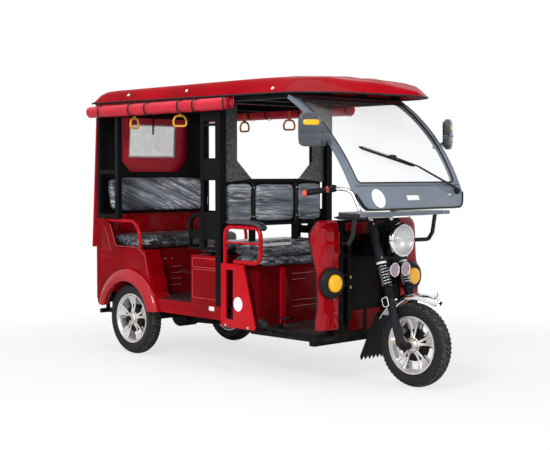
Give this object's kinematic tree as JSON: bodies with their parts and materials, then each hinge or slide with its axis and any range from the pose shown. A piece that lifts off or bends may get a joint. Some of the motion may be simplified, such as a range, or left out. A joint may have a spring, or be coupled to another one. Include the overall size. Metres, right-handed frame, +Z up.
{
  "type": "electric rickshaw",
  "caption": "Three-wheeled electric passenger rickshaw with a red roof and body, two facing rear benches, a driver's bench, raked fork, curved windscreen and rolled side curtains.",
  "frame": {"origin": "on the ground under the middle of the vehicle's outer box", "axes": "+X towards the front wheel, +Y to the driver's left, +Z up"},
  "size_m": [2.7353, 1.366, 1.7919],
  "materials": {
    "red_paint": "gloss",
    "red_plastic": "gloss",
    "black_paint": "satin",
    "black_plastic": "matte",
    "grey_plastic": "satin",
    "alloy": "satin",
    "chrome": "polished",
    "tyre_rubber": "matte",
    "rubber": "matte",
    "seat_cover": "gloss",
    "canvas": "satin",
    "clear": "clear",
    "lamp": "gloss",
    "handle_plastic": "gloss"
  },
  "bodies": {
    "body": {"chassis_frame": "black_paint", "front_frame": "black_paint", "floor_pan": "black_paint", "side_sills": "red_paint", "rear_side_panels": "red_paint", "arch_flares": "red_plastic", "wheel_housings": "red_paint", "tail_panel": "red_paint", "tail_lamps": "lamp", "rear_seat_box": "red_paint", "rear_back_panel": "red_paint", "rear_cushion": "seat_cover", "rear_backrest": "seat_cover", "mid_seat_box": "red_paint", "mid_cushion": "seat_cover", "driver_seat_box": "red_paint", "driver_cushion": "seat_cover", "battery_pack": "black_plastic", "pillar_ladders": "black_paint", "partition_frame": "black_paint", "driver_backrest": "seat_cover", "rear_frame": "black_paint", "roof_frame": "black_paint", "roof_shell": "red_plastic", "rear_canvas": "canvas", "rear_window": "clear", "curtain_rolls": "canvas", "grab_handles": "handle_plastic", "armrest_frames": "red_paint", "armrest_pads": "black_plastic", "step_plates": "red_paint", "leg_shields": "red_plastic", "front_fascia": "black_plastic", "turn_signals": "lamp", "windscreen_frame": "grey_plastic", "windscreen_glass": "clear", "wiper": "black_paint", "mirrors": "grey_plastic", "dash_tray": "grey_plastic", "brake_pedal": "black_paint", "rear_axle": "black_paint", "leaf_springs": "black_paint", "rear_bumper": "black_paint"},
    "steering": {"fork": "black_paint", "fork_springs": "chrome", "front_spindle": "chrome", "handlebar": "chrome", "headlight": "chrome", "twin_lights": "chrome", "front_mudguard": "chrome", "mud_flap": "rubber"},
    "front_wheel": {"front_rim": "alloy", "front_tyre": "tyre_rubber"},
    "rear_left_wheel": {"rear_left_rim": "alloy", "rear_left_tyre": "tyre_rubber"},
    "rear_right_wheel": {"rear_right_rim": "alloy", "rear_right_tyre": "tyre_rubber"}
  },
  "joints": [
    {"name": "steering", "type": "hinge", "parent": "body", "child": "steering", "pos_m": [0.87253, 0, 0.81063], "axis": [-0.309, 0, 0.9511], "range_deg": [-38, 38]},
    {"name": "front_wheel_spin", "type": "hinge", "parent": "steering", "child": "front_wheel", "pos_m": [1.13, 0, 0.24], "axis": [0, 1, 0], "continuous": true},
    {"name": "rear_left_wheel_spin", "type": "hinge", "parent": "body", "child": "rear_left_wheel", "pos_m": [-0.938, 0.431, 0.24], "axis": [0, 1, 0], "continuous": true},
    {"name": "rear_right_wheel_spin", "type": "hinge", "parent": "body", "child": "rear_right_wheel", "pos_m": [-0.938, -0.431, 0.24], "axis": [0, 1, 0], "continuous": true}
  ]
}
